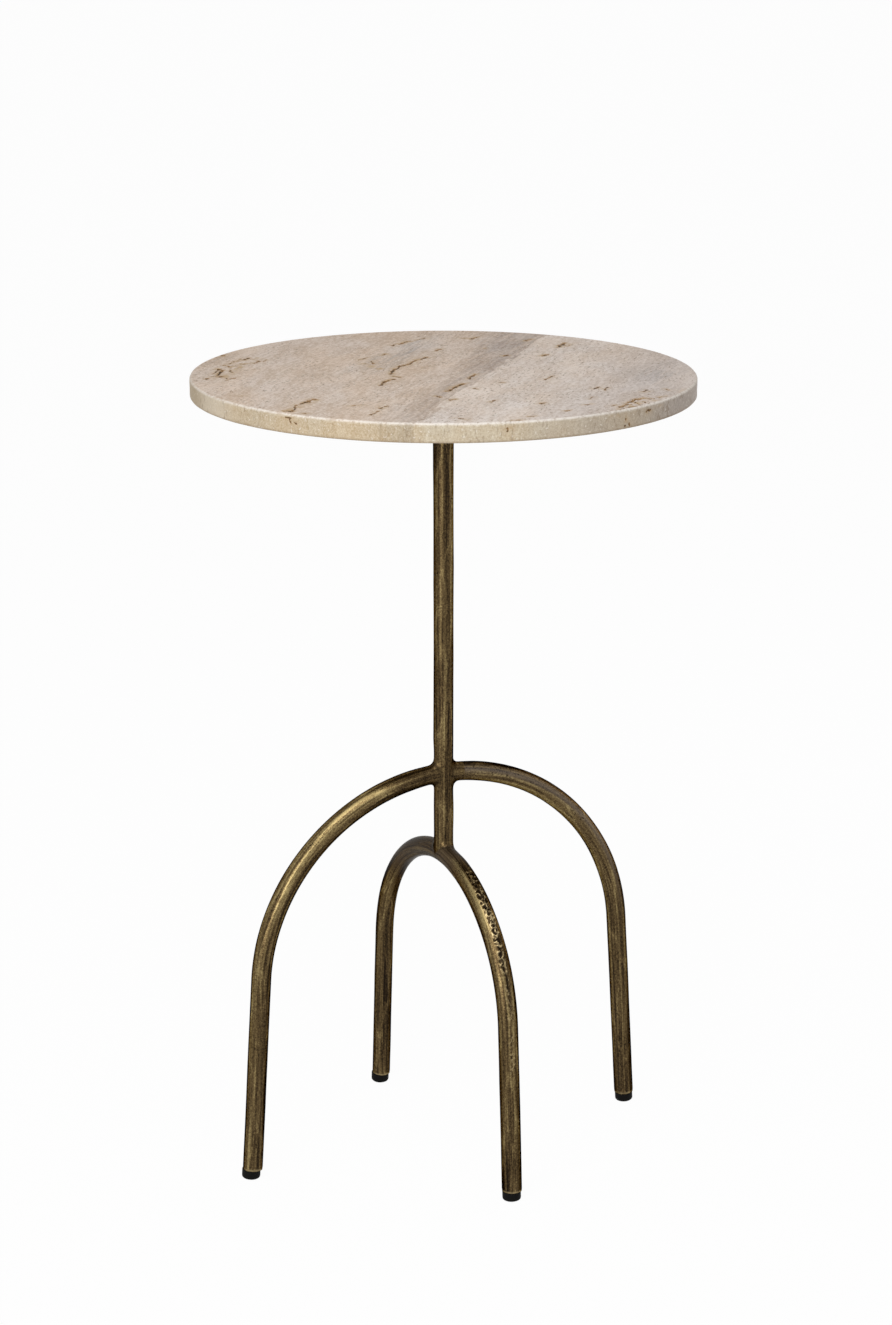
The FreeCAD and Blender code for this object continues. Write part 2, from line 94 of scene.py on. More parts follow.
def chance(place):
    """A steady number from 0 to 1 for a place, with no pattern from one place to the next."""
    return (math.sin(place.x * 127.1 + place.y * 311.7 + place.z * 74.7) * 43758.5453) % 1


def ray_through(pixel):
    """Direction from the camera through a pixel of the photograph."""
    across, down = pixel
    return VIEW_ROTATION @ Vector((across - PHOTO_WIDTH / 2, PHOTO_HEIGHT / 2 - down, -FOCAL_PIXELS))


def on_top(pixel):
    """Point of the table's top surface that a pixel of the photograph shows."""
    ray = ray_through(pixel)
    return CAMERA_PLACE + ray * ((TOP_HEIGHT - CAMERA_PLACE.z) / ray.z)


def on_side(pixel):
    """Point of the upright side of the stone that a pixel of the photograph shows."""
    ray = ray_through(pixel)
    nearest = -CAMERA_PLACE.xy.dot(ray.xy) / ray.xy.length_squared
    gap = (CAMERA_PLACE.xy + ray.xy * nearest).length
    half_chord = math.sqrt(max(TOP_RADIUS ** 2 - gap ** 2, 0)) / ray.xy.length
    return CAMERA_PLACE + ray * (nearest - half_chord)


class Graph:
    """Short forms for building the nodes of one material, or of the world."""

    def __init__(self, owner, output="OutputMaterial"):
        self.owner = owner
        owner.use_nodes = True
        self.tree = owner.node_tree
        self.tree.nodes.clear()
        self.output = self.tree.nodes.new("ShaderNode" + output)

    def feed(self, socket, value):
        if isinstance(value, bpy.types.NodeSocket):
            self.tree.links.new(value, socket)
        elif hasattr(socket.default_value, "__len__") and len(socket.default_value) == 4:
            socket.default_value = (*value, 1)[:4]
        else:
            socket.default_value = value

    def node(self, kind, inputs, **settings):
        made = self.tree.nodes.new("ShaderNode" + kind)
        for key, value in settings.items():
            setattr(made, key, value)
        for key, value in inputs.items():
            self.feed(made.inputs[key], value)
        return made

    def attribute(self, name, output="Fac"):
        return self.node("Attribute", {}, attribute_name=name).outputs[output]

    def object_place(self):
        return self.node("TexCoord", {}).outputs["Object"]

    def stretch(self, vector, scale, turn=0.0):
        """Turns a vector about Z and multiplies its three numbers by scale."""
        turned = self.node("VectorRotate", {"Vector": vector, "Angle": -turn}, rotation_type="Z_AXIS")
        made = self.node("VectorMath", {0: turned.outputs["Vector"], 1: scale}, operation="MULTIPLY")
        return made.outputs["Vector"]

    def dot(self, place, direction):
        """How far a place lies in a direction."""
        made = self.node("VectorMath", {0: place, 1: direction}, operation="DOT_PRODUCT")
        return made.outputs["Value"]

    def noise(self, vector, scale=1.0, detail=3.0, roughness=0.5):
        inputs = {"Vector": vector, "Scale": scale, "Detail": detail, "Roughness": roughness}
        return self.node("TexNoise", inputs).outputs["Fac"]

    def calc(self, operation, first, second=0.0, third=0.0):
        return self.node("Math", {0: first, 1: second, 2: third}, operation=operation).outputs[0]

    def plus(self, start, value, weight):
        return self.calc("MULTIPLY_ADD", value, weight, start)

    def product(self, *values):
        result = values[0]
        for value in values[1:]:
            result = self.calc("MULTIPLY", result, value)
        return result

    def blend(self, share, first, second):
        """Number that goes from first to second as share goes from 0 to 1."""
        return self.plus(first, share, self.calc("SUBTRACT", second, first))

    def weighted(self, start, *terms):
        """Start plus, for each term, its weight times how far its value is from one half."""
        result = start
        for value, weight in terms:
            result = self.plus(result, self.calc("SUBTRACT", value, 0.5), weight)
        return result

    def span(self, value, low, high, start=0.0, end=1.0):
        """Smooth change from start to end while value goes from low to high."""
        return self.node(
            "MapRange",
            {"Value": value, "From Min": low, "From Max": high, "To Min": start, "To Max": end},
            interpolation_type="SMOOTHSTEP",
        ).outputs["Result"]

    def mix(self, share, first, second, blend="MIX"):
        made = self.node("Mix", {}, data_type="RGBA", blend_type=blend)
        self.feed(made.inputs[0], share)
        self.feed(made.inputs[6], first)
        self.feed(made.inputs[7], second)
        return made.outputs[2]

    def ramp(self, value, stops):
        """Colour that runs through the stops, each a position and a colour."""
        made = self.node("ValToRGB", {"Fac": value})
        elements = made.color_ramp.elements
        for position, _ in stops[1:-1]:
            elements.new(position)
        for element, (position, colour) in zip(elements, stops):
            element.position = position
            element.color = (*colour, 1)
        return made.outputs["Color"]

    def bump(self, height, distance, strength):
        inputs = {"Height": height, "Distance": distance, "Strength": strength}
        return self.node("Bump", inputs).outputs["Normal"]

    def finish(self, inputs):
        """Ends the material in one shader with these inputs."""
        self.surface(self.node("BsdfPrincipled", inputs))
        return self.owner

    def surface(self, shader):
        self.tree.links.new(shader.outputs[0], self.output.inputs["Surface"])

    def is_looked_at(self):
        """1 for what the camera sees, straight or mirrored, and 0 where light only bounces."""
        path = self.node("LightPath", {}).outputs
        mirrored = self.calc("MAXIMUM", path["Is Glossy Ray"], path["Is Transmission Ray"])
        return self.calc("MAXIMUM", path["Is Camera Ray"], mirrored)


# Materials

BAND_TURN = math.radians(48.5)
ALONG_BANDS = Vector((math.cos(BAND_TURN), math.sin(BAND_TURN), 0))
ACROSS_BANDS = Vector((math.sin(BAND_TURN), -math.cos(BAND_TURN), 0))


def make_brass():
    """Dark patina on hammered brass, with lengthwise marks and fine specks, and painted highlights and
    painted shade in its colour.
    """
    graph = Graph(bpy.data.materials.new("antique_brass_hammered"))
    straight = graph.attribute("straight", "Vector")
    place = graph.object_place()
    pit = graph.attribute("pit")
    streaks = graph.noise(graph.stretch(straight, (560, 560, 13)), detail=3, roughness=0.6)
    bands = graph.noise(graph.stretch(straight, (330, 330, 4)), detail=2)
    mottle = graph.noise(place, scale=640, detail=2, roughness=0.6)
    grain = graph.noise(place, scale=1500, detail=2)
    level = graph.weighted(
        0.41, (streaks, 1.5), (bands, 0.7), (graph.attribute("tone"), 0.16), (mottle, 0.9), (grain, 1.2)
    )
    # painted highlight along the ridges between hammer marks
    level = graph.plus(level, graph.attribute("ridge_highlight"), 0.26)
    # painted highlights and shade of each tube
    level = graph.plus(level, graph.attribute("painted_light"), 0.60)
    colour = graph.ramp(level, [
        (0.00, (0.014, 0.009, 0.006)),
        (0.26, (0.046, 0.030, 0.014)),
        (0.52, (0.100, 0.066, 0.030)),
        (0.76, (0.165, 0.118, 0.052)),
        (1.00, (0.300, 0.230, 0.105)),
    ])
    specks = graph.product(
        graph.span(graph.noise(place, scale=780, detail=1), 0.59, 0.68),
        graph.span(graph.noise(graph.stretch(straight, (240, 240, 32)), detail=1), 0.50, 0.62),
    )
    dark = graph.calc("MAXIMUM", graph.product(specks, 0.8), graph.product(pit, 0.78))
    # painted shade in the creases where the tubes meet
    dark = graph.calc("MAXIMUM", dark, graph.attribute("crease_shade"))
    # greyer dust on the right leg's bend, which also stands in for a painted sheen
    dust_and_sheen = graph.product(graph.attribute("dust"), graph.span(mottle, 0.3, 0.6, 0.6, 1.0))
    colour = graph.mix(dust_and_sheen, colour, (0.190, 0.158, 0.132))
    matte = graph.attribute("matte")
    patina = graph.mix(graph.span(streaks, 0.35, 0.65), (0.052, 0.036, 0.022), (0.102, 0.073, 0.047))
    colour = graph.mix(matte, colour, patina)
    colour = graph.mix(dark, colour, (0.009, 0.006, 0.004))
    colour = graph.mix(graph.attribute("rim"), colour, (0.40, 0.31, 0.165))
    relief = graph.weighted(0.0, (mottle, 0.7), (grain, 0.3))
    relief = graph.plus(relief, specks, -0.6)
    return graph.finish({
        "Base Color": colour,
        "Metallic": graph.plus(1.0, matte, -0.9),
        "Roughness": graph.span(streaks, 0.25, 0.75, 0.22, 0.40),
        "Specular Tint": (0.09, 0.10, 0.13),
        "Specular IOR Level": 0.04,
        "Normal": graph.bump(relief, 0.0002, 0.28),
    })


def make_travertine():
    """Honed vein-cut travertine: bands on the skew, streaks along them, grain, pits and brown cracks."""
    graph = Graph(bpy.data.materials.new("travertine_honed"))
    place = graph.object_place()
    side = graph.attribute("side")

    def veined(along, across, upright, detail=3.0, roughness=0.55):
        """Noise stretched along the bands, given in features per metre."""
        stretched = graph.stretch(place, (along, across, upright), BAND_TURN)
        return graph.noise(stretched, detail=detail, roughness=roughness)

    along = graph.dot(place, ALONG_BANDS)
    across = graph.dot(place, ACROSS_BANDS)
    rightward = graph.dot(place, PHOTO_RIGHT)
    fingers = veined(34, 260, 60)
    across = graph.weighted(across, (veined(14, 30, 14, detail=1), 0.016), (fingers, 0.024))
    streaks = veined(20, 260, 80, roughness=0.6)
    threads = veined(95, 380, 120, detail=2)
    clouds = veined(16, 42, 16)
    warmth = veined(13, 28, 14, detail=2)
    speckle = graph.noise(place, scale=380, detail=1.5, roughness=0.6)
    grain = graph.noise(place, scale=900, detail=2)
    blotches = graph.noise(place, scale=130, detail=2)
    saw_marks = graph.noise(graph.stretch(place, (420, 420, 45)), detail=2)

    top_tone = graph.weighted(
        0.5, (streaks, 1.2), (clouds, 1.7), (threads, 1.6), (speckle, 2.2), (grain, 2.2)
    )
    side_tone = graph.weighted(0.5, (blotches, 0.5), (saw_marks, 0.5), (speckle, 0.8), (grain, 2.0))
    tone = graph.blend(side, top_tone, side_tone)
    beige = graph.mix(tone, (0.530, 0.392, 0.282), (0.748, 0.628, 0.538))
    pale = graph.mix(tone, (0.605, 0.492, 0.405), (0.812, 0.722, 0.657))
    grey = graph.mix(tone, (0.335, 0.248, 0.195), (0.540, 0.457, 0.400))
    cool = graph.mix(tone, (0.330, 0.294, 0.273), (0.535, 0.494, 0.464))
    right = graph.span(across, 0.0340, 0.0356)
    pale = graph.mix(graph.product(side, 0.55), pale, beige)
    colour = graph.mix(right, beige, pale)
    widening = graph.plus(across, graph.calc("MAXIMUM", along, 0.0), 0.15)
    banded = graph.product(
        graph.span(widening, -0.004, 0.026),
        graph.calc("SUBTRACT", 1.0, right),
        graph.span(along, -0.18, 0.10, 0.70, 1.0),
        graph.span(streaks, 0.38, 0.60, 1.0, 0.60),
    )
    colour = graph.mix(banded, colour, grey)
    cooled = graph.product(graph.attribute("cool"), graph.span(streaks, 0.36, 0.60, 1.0, 0.35))
    colour = graph.mix(cooled, colour, cool)
    hue = graph.mix(graph.span(warmth, 0.35, 0.65), (0.985, 1.000, 1.025), (1.015, 0.995, 0.970))
    colour = graph.mix(1.0, colour, hue, "MULTIPLY")
    # the side is tinted warmer, and painted darker than the top as shade
    colour = graph.mix(side, colour, (0.91, 0.93, 0.81), "MULTIPLY")
    # a duller grey at the right end; on the side it grows towards the far right as painted shade
    side_dull_and_shade = graph.plus(0.30, graph.span(rightward, 0.135, 0.185), 0.40)
    dull = graph.product(graph.span(across, 0.09, 0.16), graph.blend(side, 0.40, side_dull_and_shade))
    dull_and_shade_colour = graph.mix(tone, (0.35, 0.300, 0.285), (0.50, 0.430, 0.405))
    colour = graph.mix(dull, colour, dull_and_shade_colour)
    # painted light: the left end of the side is painted paler
    left_end_painted_light = graph.product(graph.span(rightward, -0.150, -0.170), side, 0.45)
    colour = graph.mix(left_end_painted_light, colour, (0.80, 0.71, 0.58))
    # painted shade: the far left end of the side is painted a darker brown
    brown = graph.product(graph.span(rightward, -0.178, -0.192), side, 0.75)
    colour = graph.mix(brown, colour, (0.46, 0.362, 0.235))

    crowded = graph.plus(veined(22, 50, 22, detail=2), right, 0.07)
    dashes = graph.product(
        graph.span(veined(170, 520, 150, detail=1), 0.60, 0.68),
        graph.span(crowded, 0.45, 0.58),
    )
    dashed = graph.product(dashes, graph.blend(side, 0.75, 0.40))
    colour = graph.mix(dashed, colour, (0.27, 0.185, 0.115))
    light = graph.span(graph.noise(place, scale=460, detail=1), 0.64, 0.74, 0.0, 0.65)
    colour = graph.mix(light, colour, (0.82, 0.76, 0.68))
    # a painted highlight along the front half of the top edge, broken into paler chips
    worn = graph.product(graph.attribute("edge"), graph.span(speckle, 0.30, 0.55, 0.35, 0.78))
    colour = graph.mix(worn, colour, (0.92, 0.88, 0.81))
    # painted shade on the back half of the top edge, and a darker brown line along the under edge
    colour = graph.mix(graph.product(graph.attribute("dark_edge_and_shade"), 0.6), colour, (0.36, 0.26, 0.165))
    colour = graph.mix(graph.product(graph.attribute("halo"), 0.85), colour, (0.53, 0.385, 0.235))
    beads = graph.span(graph.noise(place, scale=430, detail=1), 0.38, 0.54, 0.60, 1.0)
    pit = graph.product(graph.attribute("pit"), beads)
    core = graph.mix(graph.span(speckle, 0.40, 0.62), (0.032, 0.020, 0.012), (0.125, 0.078, 0.042))
    core = graph.mix(graph.span(pit, 0.35, 0.80), (0.33, 0.210, 0.105), core)
    rust = graph.span(graph.noise(place, scale=210, detail=1), 0.45, 0.61, 0.0, 0.70)
    core = graph.mix(rust, core, (0.36, 0.215, 0.100))
    colour = graph.mix(graph.span(pit, 0.0, 0.5, 0.0, 0.95), colour, core)
    relief = graph.weighted(0.0, (threads, 0.3), (speckle, 0.4), (grain, 0.3))
    relief = graph.plus(relief, dashes, -1.0)
    return graph.finish({
        "Base Color": colour,
        "Roughness": graph.span(streaks, 0.3, 0.7, 0.40, 0.56),
        "Specular IOR Level": 0.03,
        "Normal": graph.bump(relief, 0.0003, 0.4),
    })


def make_rubber():
    graph = Graph(bpy.data.materials.new("black_rubber_moulded"))
    place = graph.object_place()
    dust = graph.noise(place, scale=700, detail=3)
    grain = graph.noise(place, scale=4000, detail=2)
    colour = graph.mix(graph.span(dust, 0.35, 0.75), (0.003, 0.0027, 0.0025), (0.009, 0.008, 0.007))
    return graph.finish({
        "Base Color": colour,
        "Roughness": graph.span(dust, 0.3, 0.7, 0.62, 0.80),
        "Specular IOR Level": 0.08,
        "Normal": graph.bump(grain, 0.0001, 0.4),
    })


def make_plate_brass():
    graph = Graph(bpy.data.materials.new("antique_brass_plate"))
    place = graph.object_place()
    blotch = graph.noise(place, scale=90, detail=4, roughness=0.6)
    mottle = graph.noise(place, scale=900, detail=3)
    level = graph.weighted(0.45, (blotch, 1.2), (mottle, 1.0))
    colour = graph.ramp(level, [
        (0.0, (0.020, 0.014, 0.008)),
        (0.5, (0.070, 0.047, 0.021)),
        (1.0, (0.150, 0.105, 0.048)),
    ])
    return graph.finish({
        "Base Color": colour,
        "Metallic": 0.92,
        "Roughness": graph.span(mottle, 0.3, 0.7, 0.4, 0.6),
        "Specular Tint": (0.2, 0.2, 0.2),
        "Normal": graph.bump(mottle, 0.0002, 0.5),
    })


def make_bare_metal(name, light, dark):
    graph = Graph(bpy.data.materials.new(name))
    place = graph.object_place()
    turned = graph.noise(graph.stretch(place, (600, 600, 4000)), detail=2)
    stains = graph.noise(place, scale=350, detail=3)
    return graph.finish({
        "Base Color": graph.mix(graph.span(stains, 0.35, 0.75), light, dark),
        "Metallic": 1.0,
        "Roughness": graph.span(stains, 0.3, 0.7, 0.28, 0.45),
        "Normal": graph.bump(turned, 0.00005, 0.3),
    })


brass = make_brass()
travertine = make_travertine()
rubber = make_rubber()
plate_brass = make_plate_brass()
zinc = make_bare_metal("zinc_steel_plated", (0.60, 0.60, 0.59), (0.42, 0.42, 0.41))
insert_brass = make_bare_metal("insert_brass_turned", (0.62, 0.46, 0.20), (0.45, 0.32, 0.13))

CARRIED_OVER = {
    "mounting_plate": plate_brass,
    "plate_weld": plate_brass,
    "plate_screws": zinc,
    "screw_washers": zinc,
    "stone_inserts": insert_brass,
    "top_gasket": rubber,
}
for node_name, node_material in CARRIED_OVER.items():
    node_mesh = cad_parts[node_name].data
    node_mesh.materials.clear()
    node_mesh.materials.append(node_material)


def add_object(name, content):
    holder = bpy.data.objects.new(name, content)
    scene.collection.objects.link(holder)
    return holder


def place_piece(name, editable, material, node):
    """Turns a closed mesh into a smooth piece that stands for a node of the solids."""
    mesh = bpy.data.meshes.new(name)
    bmesh.ops.recalc_face_normals(editable, faces=editable.faces)
    editable.to_mesh(mesh)
    editable.free()
    mesh.shade_smooth()
    mesh.materials.append(material)
    piece = add_object(name, mesh)
    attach(piece, "root")
    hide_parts(node)


def add_piece(name, points, faces, material, node, values):
    """Makes a piece from points and faces, with its named values per point."""
    mesh = bpy.data.meshes.new("points")
    mesh.from_pydata(points, [], faces)
    for key, numbers in values.items():
        if isinstance(numbers[0], Vector):
            made = mesh.attributes.new(key, "FLOAT_VECTOR", "POINT")
            made.data.foreach_set("vector", [part for number in numbers for part in number])
        else:
            made = mesh.attributes.new(key, "FLOAT", "POINT")
            made.data.foreach_set("value", numbers)
    editable = bmesh.new()
    editable.from_mesh(mesh)
    bpy.data.meshes.remove(mesh)
    place_piece(name, editable, material, node)


def skin(ring_count, around, looped=False):
    """Quads between successive rings of points, and from the last ring to the first where looped."""
    faces = []
    for ring in range(ring_count if looped else ring_count - 1):
        here = ring * around
        there = (ring + 1) % ring_count * around
        for spot in range(around):
            after = (spot + 1) % around
            faces.append((here + spot, here + after, there + after, there + spot))
    return faces


def closed_skin(ring_count, around):
    """Quads between successive rings, with a cap on the first and the last."""
    first_cap = tuple(range(around))
    last_cap = tuple(range((ring_count - 1) * around, ring_count * around))
    return skin(ring_count, around) + [first_cap, last_cap]


# Centrelines of the tubes

PINCH_START = 0.008
PINCH_END = 0.034


class Arch:
    """A bent tube: a round crown that runs down into two splayed straight legs."""

    def __init__(self, crown, bend, along, across, pinch):
        self.crown = crown
        self.bend = bend
        self.along = along
        self.across = across
        self.pinch = pinch
        self.middle = crown - bend
        self.full_turn = math.pi / 2 - SPLAY
        straight_top = self.middle + bend * math.sin(SPLAY)
        self.length = bend * self.full_turn + (straight_top - LEG_END) / math.cos(SPLAY)

    def at(self, run):
        """Centre and outward direction at a run from the crown; a run below zero is the other leg."""
        side = self.along * math.copysign(1, run)
        turn = min(abs(run) / self.bend, self.full_turn)
        outward = side * math.sin(turn) + UP * math.cos(turn)
        onward = side * math.cos(turn) - UP * math.sin(turn)
        centre = UP * self.middle + outward * self.bend + onward * (abs(run) - turn * self.bend)
        return centre, outward

    def flatness(self, run):
        """How much of its thickness the tube keeps across, where it is pinched to meet the post."""
        return 1 - self.pinch * (1 - rise(PINCH_START, PINCH_END, abs(run)))

    def surface(self, run, angle, radius=TUBE_RADIUS):
        centre, outward = self.at(run)
        sideways = self.across * (math.sin(angle) * self.flatness(run))
        return centre + (outward * math.cos(angle) + sideways) * radius

    def near_crown(self, point):
        """Run of a point near the crown, the outward direction there, and how far out and across it is."""
        from_middle = point - UP * self.middle
        sideways = from_middle.dot(self.across)
        in_plane = from_middle - self.across * sideways
        run = self.bend * math.atan2(in_plane.dot(self.along), in_plane.z)
        return run, in_plane.normalized(), in_plane.length - self.bend, sideways / self.flatness(run)

    def distance(self, point):
        """Distance of a point from the tube near its crown, and the direction that leads away from it."""
        run, outward, out, sideways = self.near_crown(point)
        away = outward * out + self.across * sideways
        return away.length - TUBE_RADIUS, away.normalized()

    def straightened(self, point):
        """Where a point near the crown would be if the tube were straight."""
        run, outward, out, sideways = self.near_crown(point)
        return Vector((out, sideways, 0)).normalized() * TUBE_RADIUS + UP * run


class Post:
    """The upright tube."""

    def surface(self, height, angle, radius=TUBE_RADIUS):
        return Vector((radius * math.cos(angle), radius * math.sin(angle), height))

    def distance(self, point):
        away = Vector((point.x, point.y, 0))
        return away.length - TUBE_RADIUS, away.normalized()

    def straightened(self, point):
        return Vector((point.x, point.y, 0)).normalized() * TUBE_RADIUS + UP * point.z


UPPER_ARCH = Arch(0.3275, 0.165, X_AXIS, Y_AXIS, 0.20)
LOWER_ARCH = Arch(0.2575, 0.120, Y_AXIS, X_AXIS, 0.0)
POST = Post()

# Tubes

MARKS_AROUND = 7
MARK_LENGTH = 0.080
MARK_DEPTH = 0.00030
JOINT_REACH = 0.0165
JOINT_FADE = 0.014
HAMMER_SWELL = 0.00022
PIT_SPACING = 0.0036
PIT_STRETCH = 0.8
PIT_DEPTH = 0.0009
RIM_HEIGHT = 0.00018
WORN_END = 0.0020
CROWN_MATTE = 0.7
POST_FLARE = 0.00045
BACK_LEG_THINNING = 0.0004
POST_START = LOWER_ARCH.crown + 0.002
LEG_START = 0.004
TUBE_AROUND = 56
TUBE_STEP = 0.0012
FINE_AROUND = 88
FINE_STEP = 0.0007
POST_SEED, RIGHT_SEED, LEFT_SEED, LOWER_SEED = range(1, 5)

# Casting pits on the front leg: run from the crown, middle and half width in degrees, share of pits
PIT_STRIP = [
    (0.034, 2, 20, 0.25),
    (0.060, -2, 24, 0.85),
    (0.090, -3, 25, 0.95),
    (0.120, -6, 21, 0.95),
    (0.135, -8, 18, 0.45),
    (0.170, -8, 18, 0.35),
    (0.205, -6, 19, 0.60),
    (0.225, -6, 16, 0.00),
]


def hammer_mark(straight, seed):
    """Depth of the long hammer marks at a point of the straightened tube, the share of the ridges between
    marks, where a highlight is painted, and its tone.
    """
    reach = MARKS_AROUND / (2 * math.pi * TUBE_RADIUS)
    spot = Vector((straight.x * reach, straight.y * reach, straight.z / MARK_LENGTH + seed * 17.3))
    spot += noise.noise_vector(spot * 1.7) * 0.18
    distances, centres = noise.voronoi(spot)
    ridge_highlight = 1 - rise(0.0, 0.13, distances[1] - distances[0])
    return MARK_DEPTH * (1.6 * distances[0] ** 2 - 0.6), ridge_highlight, chance(centres[0])


def turn_of(angle):
    """The angle in degrees from -180 to 180."""
    return (math.degrees(angle) + 180) % 360 - 180


def front_leg_pits(run, angle):
    """Depth share and rim share of the worm-like casting pits on the flank of the front leg."""
    down = -run
    if not PIT_STRIP[0][0] < down < PIT_STRIP[-1][0]:
        return 0.0, 0.0
    for upper, lower in zip(PIT_STRIP, PIT_STRIP[1:]):
        if down <= lower[0]:
            break
    share = (down - upper[0]) / (lower[0] - upper[0])
    middle, half, density = (a + (b - a) * share for a, b in zip(upper[1:], lower[1:]))
    turn = turn_of(angle)
    density *= 1 - rise(0.7, 1.15, abs(turn - middle) / half)
    if density == 0:
        return 0.0, 0.0
    spot = Vector((TUBE_RADIUS * math.radians(turn), run * PIT_STRETCH, 0)) / PIT_SPACING
    spot += noise.noise_vector(spot * 1.3) * 0.45
    spot.z = 0
    distances, centres = noise.voronoi(spot)
    if chance(centres[0]) > density:
        return 0.0, 0.0
    inside = distances[1] - distances[0]
    pit = rise(0.18, 0.40, inside) * (1 - 0.5 * rise(0.12, 0.16, down))
    rim = (1 - rise(0.02, 0.13, inside)) * (1 - 0.3 * rise(0.12, 0.16, down))
    return pit, rim


def no_pits(*spot):
    return 0.0, 0.0


def nowhere(*spot):
    return 0.0


def right_leg_dust_and_sheen(run, angle):
    """A greyer, lighter line along the upper front of the right leg's bend: dust, with a painted sheen."""
    return 0.45 * bell((turn_of(angle) + 66) / 20) * (1 - rise(0.16, 0.26, run))


def lower_arch_matte(run, angle):
    """The crown has a dull brown patina, which reaches some way down the back leg."""
    return CROWN_MATTE * plateau(-0.05, -0.018, 0.07, 0.13, run)


def left_leg_painted_light(run, angle):
    """Painted light on the left leg: a painted highlight over the front of the bend, less so down to the
    floor, and painted shade on its back and inner sides.
    """
    down = -run
    turn = turn_of(angle)
    reach = rise(0.03, 0.075, down) * (1 - 0.85 * rise(0.12, 0.24, down))
    front = 1 - rise(15, 70, abs(turn + 30))
    back = rise(-22, 8, turn)
    inside = rise(25, 60, -turn - 60)
    lower = rise(0.15, 0.25, down)
    line = 0.34 * bell((turn + 36) / 17) - 0.10 * rise(50, 70, -turn)
    return 0.62 * reach * front - 0.35 * back - 0.25 * inside + lower * line


def right_leg_painted_light(run, angle):
    """Painted light on the right leg, which keeps its dark patina: a painted highlight along its middle,
    painted shade over the top of the bend, and darker towards the foot.
    """
    turn = turn_of(angle)
    middle = bell(turn_of(angle + math.radians(145)) / 45)
    top = plateau(-50, -28, 15, 50, turn) * (1 - rise(0.16, 0.26, run))
    foot = rise(0.33, 0.38, run)
    return 0.25 * middle - 0.02 - 0.65 * top - 0.35 * foot


def lower_arch_painted_light(run, angle):
    """Painted light on the lower arch: a painted highlight on a long flat on the inner flank of the front
    leg, beside the pits, and on the crown; painted shade on the flank past the pits, the inner side and
    the lower legs.
    """
    turn = turn_of(angle)
    if run > 0:
        crown = 0.40 - 0.75 * rise(100, 150, abs(turn))
        return crown * (1 - rise(0.03, 0.08, run)) - 0.20 * rise(0.12, 0.20, run)
    down = -run
    reach = plateau(0.025, 0.05, 0.08, 0.13, down)
    flat = bell((turn + 46) / 18)
    inner = plateau(0.01, 0.03, 0.13, 0.18, down) * rise(70, 95, -turn)
    edge = plateau(0.015, 0.035, 0.08, 0.11, down) * bell((turn + 34) / 7)
    flank = plateau(0.03, 0.06, 0.12, 0.17, down) * rise(-24, -4, turn)
    shin = rise(0.15, 0.20, down)
    foot = shin * (0.18 - 0.38 * bell((turn - 6) / 18)) + 0.25 * rise(0.26, 0.30, down)
    return 0.45 * reach * flat + 0.9 * edge - 0.25 * inner - 0.60 * flank - foot


def post_painted_light(run, angle):
    """Painted light on the post: two lengthwise painted highlight lines, and painted shadow under the
    stone, where it is darkest.
    """
    turn = turn_of(angle)
    lines = 0.26 * bell((turn + 118) / 12) + 0.24 * bell((turn + 64) / 14)
    return lines - 0.06 - 0.30 * rise(0.56, 0.63, run)


def add_tube(
    node, line, start, end, seed, joints, painted_light, feet=(), around=TUBE_AROUND, step=TUBE_STEP,
    swell=nowhere, pits=no_pits, dust=nowhere, matte=nowhere,
):
    """Sweeps one hammered tube from start to end.

    The hammering fades out near its joints, and the metal is worn bare at the ends over its feet.
    """
    ring_count = int(abs(end - start) / step) + 1
    points = []
    values = {}
    for ring in range(ring_count):
        run = start + (end - start) * ring / (ring_count - 1)
        away = min(abs(run - joint) for joint in joints)
        hammered = rise(JOINT_REACH, JOINT_REACH + JOINT_FADE, away)
        from_end = min((abs(run - foot) for foot in feet), default=1)
        worn = 1 - rise(0.3 * WORN_END, WORN_END, from_end)
        for spot in range(around):
            angle = 2 * math.pi * spot / around
            straight = Vector((math.cos(angle), math.sin(angle), 0)) * TUBE_RADIUS + UP * run
            depth, ridge_highlight, tone = hammer_mark(straight, seed)
            pit, rim = pits(run, angle)
            depth += HAMMER_SWELL + RIM_HEIGHT * rim - PIT_DEPTH * pit
            radius = TUBE_RADIUS + swell(run) + depth * hammered - RIM_HEIGHT * worn
            bare = 0.55 + 0.6 * noise.noise(straight * 400)
            points.append(line.surface(run, angle, radius))
            found = {
                "straight": straight + UP * seed,
                "ridge_highlight": ridge_highlight * hammered,
                "tone": tone,
                "pit": pit * hammered,
                "rim": max(rim * hammered, worn * bare),
                # painted highlights and shade of this tube
                "painted_light": painted_light(run, angle),
                # dust, with a painted sheen, on the right leg
                "dust": dust(run, angle),
                "matte": matte(run, angle),
                "crease_shade": 0.0,
            }
            for key, number in found.items():
                values.setdefault(key, []).append(number)
    faces = closed_skin(ring_count, around)
    add_piece(f"{node}_tube", points, faces, brass, node, values)


